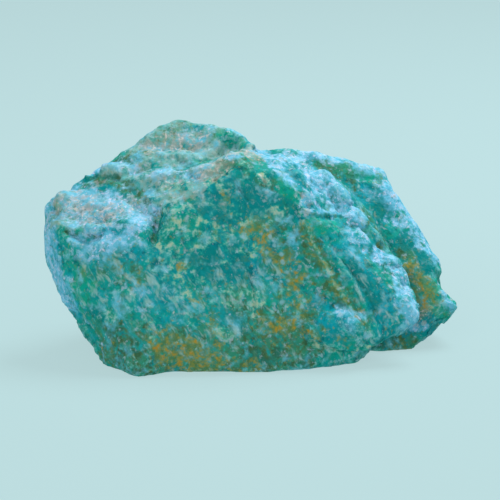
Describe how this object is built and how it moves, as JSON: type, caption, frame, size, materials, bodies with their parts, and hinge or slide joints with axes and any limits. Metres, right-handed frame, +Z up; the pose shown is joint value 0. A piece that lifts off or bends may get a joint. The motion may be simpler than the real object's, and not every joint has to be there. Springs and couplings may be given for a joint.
{
  "type": "raw amazonite",
  "caption": "Broken, unpolished piece of green-blue amazonite feldspar that lies on a flat underside, for display or as a mineral sample.",
  "frame": {"origin": "middle of the bounding box at the flat underside the stone rests on", "axes": "+X along the stone's length towards its pointed end, -Y towards the large flat front face, +Z up"},
  "size_m": [0.073, 0.043, 0.0385],
  "materials": {
    "amazonite": "raw broken feldspar, dull to faintly glassy, green-blue with pale streaks and ochre iron stains"
  },
  "bodies": {
    "root": {"amazonite": "amazonite"}
  },
  "joints": []
}
